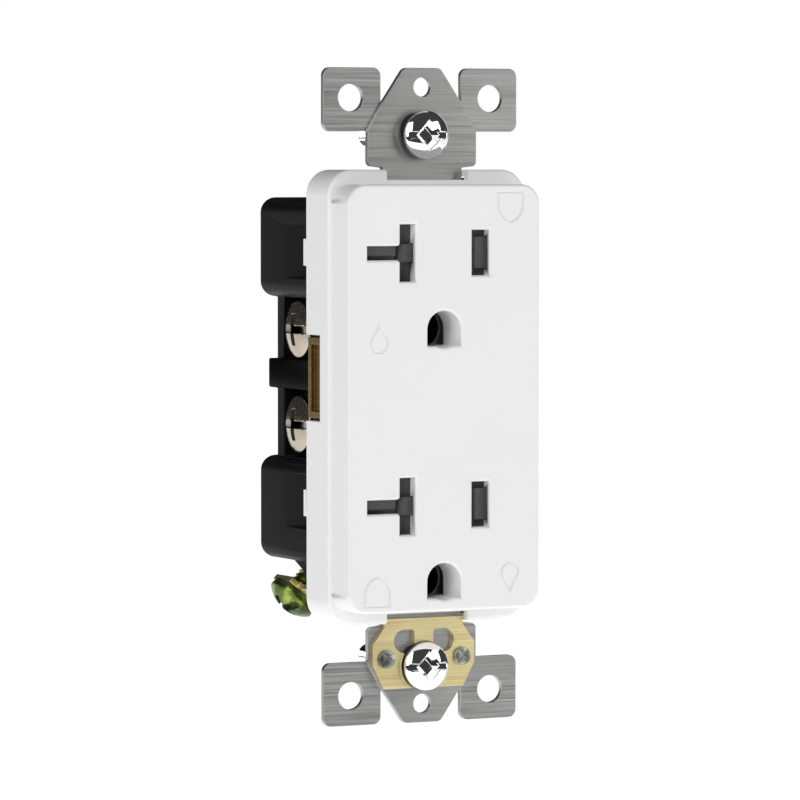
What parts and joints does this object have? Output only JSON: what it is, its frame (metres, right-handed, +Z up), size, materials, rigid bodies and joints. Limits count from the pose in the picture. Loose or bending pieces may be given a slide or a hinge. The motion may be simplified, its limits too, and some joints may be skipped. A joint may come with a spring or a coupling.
{
  "type": "duplex receptacle",
  "caption": "Decorator-style duplex electrical receptacle with T-slots, safety shutters, metal mounting strap and side terminals.",
  "frame": {"origin": "rear face of the mounting strap, midway between the two wall-plate screw holes", "axes": "+Z up along the strap, +X to the right as seen from the room, +Y into the wall"},
  "size_m": [0.035, 0.0349, 0.1028],
  "materials": {
    "white_plastic": "satin moulded",
    "black_plastic": "matt moulded",
    "stainless_steel": "brushed along its width",
    "strip_brass": "brushed",
    "contact_brass": "rolled",
    "zinc_steel": "dull zinc",
    "green_steel": "green passivated",
    "nickel_steel": "nickel plated",
    "brass_screw": "polished",
    "chrome_steel": "polished",
    "grey_fibre": "pressed fibre",
    "dark_plastic": "moulded",
    "spring_steel": "drawn wire"
  },
  "bodies": {
    "root": {"face_cover": "white_plastic", "back_body": "black_plastic", "mounting_strap": "stainless_steel", "grounding_plate": "strip_brass", "strap_rivets": "zinc_steel", "ground_terminal": "strip_brass", "neutral_strip": "contact_brass", "hot_strip": "contact_brass", "ground_contact_upper": "contact_brass", "shutter_tray_upper": "dark_plastic", "slide_spring_upper": "spring_steel", "gate_spring_upper": "spring_steel", "ground_contact_lower": "contact_brass", "shutter_tray_lower": "dark_plastic", "slide_spring_lower": "spring_steel", "gate_spring_lower": "spring_steel"},
    "neutral_clamp_upper": {"neutral_clamp_upper": "nickel_steel"},
    "neutral_screw_upper": {"neutral_screw_upper": "nickel_steel"},
    "neutral_clamp_lower": {"neutral_clamp_lower": "nickel_steel"},
    "neutral_screw_lower": {"neutral_screw_lower": "nickel_steel"},
    "hot_clamp_upper": {"hot_clamp_upper": "brass_screw"},
    "hot_screw_upper": {"hot_screw_upper": "brass_screw"},
    "hot_clamp_lower": {"hot_clamp_lower": "brass_screw"},
    "hot_screw_lower": {"hot_screw_lower": "brass_screw"},
    "retaining_washer_top": {"retaining_washer_top": "grey_fibre"},
    "mounting_screw_top": {"mounting_screw_top": "chrome_steel"},
    "retaining_washer_bottom": {"retaining_washer_bottom": "grey_fibre"},
    "mounting_screw_bottom": {"mounting_screw_bottom": "chrome_steel"},
    "ground_screw": {"ground_screw": "green_steel"},
    "shutter_slide_upper": {"shutter_slide_upper": "dark_plastic"},
    "slot_gate_upper": {"slot_gate_upper": "dark_plastic"},
    "shutter_slide_lower": {"shutter_slide_lower": "dark_plastic"},
    "slot_gate_lower": {"slot_gate_lower": "dark_plastic"}
  },
  "joints": [
    {"name": "neutral_clamp_upper_slide", "type": "slide", "parent": "root", "child": "neutral_clamp_upper", "axis": [-1, 0, 0], "range_m": [-0.00095, 0.0016]},
    {"name": "neutral_screw_upper_turn", "type": "hinge", "parent": "neutral_clamp_upper", "child": "neutral_screw_upper", "pos_m": [-0.0133, 0.0142, 0.01025], "axis": [-1, 0, 0], "range_deg": [-432, 727]},
    {"name": "neutral_clamp_lower_slide", "type": "slide", "parent": "root", "child": "neutral_clamp_lower", "axis": [-1, 0, 0], "range_m": [-0.00095, 0.0016]},
    {"name": "neutral_screw_lower_turn", "type": "hinge", "parent": "neutral_clamp_lower", "child": "neutral_screw_lower", "pos_m": [-0.0133, 0.0142, -0.0048], "axis": [-1, 0, 0], "range_deg": [-432, 727]},
    {"name": "hot_clamp_upper_slide", "type": "slide", "parent": "root", "child": "hot_clamp_upper", "axis": [1, 0, 0], "range_m": [-0.00095, 0.0016]},
    {"name": "hot_screw_upper_turn", "type": "hinge", "parent": "hot_clamp_upper", "child": "hot_screw_upper", "pos_m": [0.0133, 0.0142, 0.01025], "axis": [1, 0, 0], "range_deg": [-432, 727]},
    {"name": "hot_clamp_lower_slide", "type": "slide", "parent": "root", "child": "hot_clamp_lower", "axis": [1, 0, 0], "range_m": [-0.00095, 0.0016]},
    {"name": "hot_screw_lower_turn", "type": "hinge", "parent": "hot_clamp_lower", "child": "hot_screw_lower", "pos_m": [0.0133, 0.0142, -0.0048], "axis": [1, 0, 0], "range_deg": [-432, 727]},
    {"name": "retaining_washer_top_slide", "type": "slide", "parent": "root", "child": "retaining_washer_top", "axis": [0, -1, 0], "range_m": [0, 0.002]},
    {"name": "mounting_screw_top_turn", "type": "hinge", "parent": "retaining_washer_top", "child": "mounting_screw_top", "pos_m": [0, -0.0019, 0.0409], "axis": [0, -1, 0], "continuous": true},
    {"name": "retaining_washer_bottom_slide", "type": "slide", "parent": "root", "child": "retaining_washer_bottom", "axis": [0, -1, 0], "range_m": [0, 0.002]},
    {"name": "mounting_screw_bottom_turn", "type": "hinge", "parent": "retaining_washer_bottom", "child": "mounting_screw_bottom", "pos_m": [0, -0.0019, -0.0424], "axis": [0, -1, 0], "continuous": true},
    {"name": "ground_screw_turn", "type": "hinge", "parent": "root", "child": "ground_screw", "pos_m": [-0.015, 0.0162, -0.033], "axis": [-0.7071, 0, -0.7071], "range_deg": [-30, 360]},
    {"name": "shutter_slide_upper_travel", "type": "slide", "parent": "root", "child": "shutter_slide_upper", "axis": [1, 0, 0], "range_m": [0, 0.0029], "stiffness_N_per_m": 60, "springref_m": -0.002, "deforming": ["slide_spring_upper"]},
    {"name": "slot_gate_upper_travel", "type": "slide", "parent": "root", "child": "slot_gate_upper", "axis": [0, 0, 1], "range_m": [0, 0.0026], "stiffness_N_per_m": 60, "springref_m": -0.002, "deforming": ["gate_spring_upper"]},
    {"name": "shutter_slide_lower_travel", "type": "slide", "parent": "root", "child": "shutter_slide_lower", "axis": [1, 0, 0], "range_m": [0, 0.0029], "stiffness_N_per_m": 60, "springref_m": -0.002, "deforming": ["slide_spring_lower"]},
    {"name": "slot_gate_lower_travel", "type": "slide", "parent": "root", "child": "slot_gate_lower", "axis": [0, 0, 1], "range_m": [0, 0.0026], "stiffness_N_per_m": 60, "springref_m": -0.002, "deforming": ["gate_spring_lower"]}
  ],
  "couplings": [
    {"joint": "neutral_screw_upper_turn", "follows": "neutral_clamp_upper_slide", "rad_per_m": 7915.8},
    {"joint": "neutral_screw_lower_turn", "follows": "neutral_clamp_lower_slide", "rad_per_m": 7915.8},
    {"joint": "hot_screw_upper_turn", "follows": "hot_clamp_upper_slide", "rad_per_m": 7915.8},
    {"joint": "hot_screw_lower_turn", "follows": "hot_clamp_lower_slide", "rad_per_m": 7915.8}
  ]
}
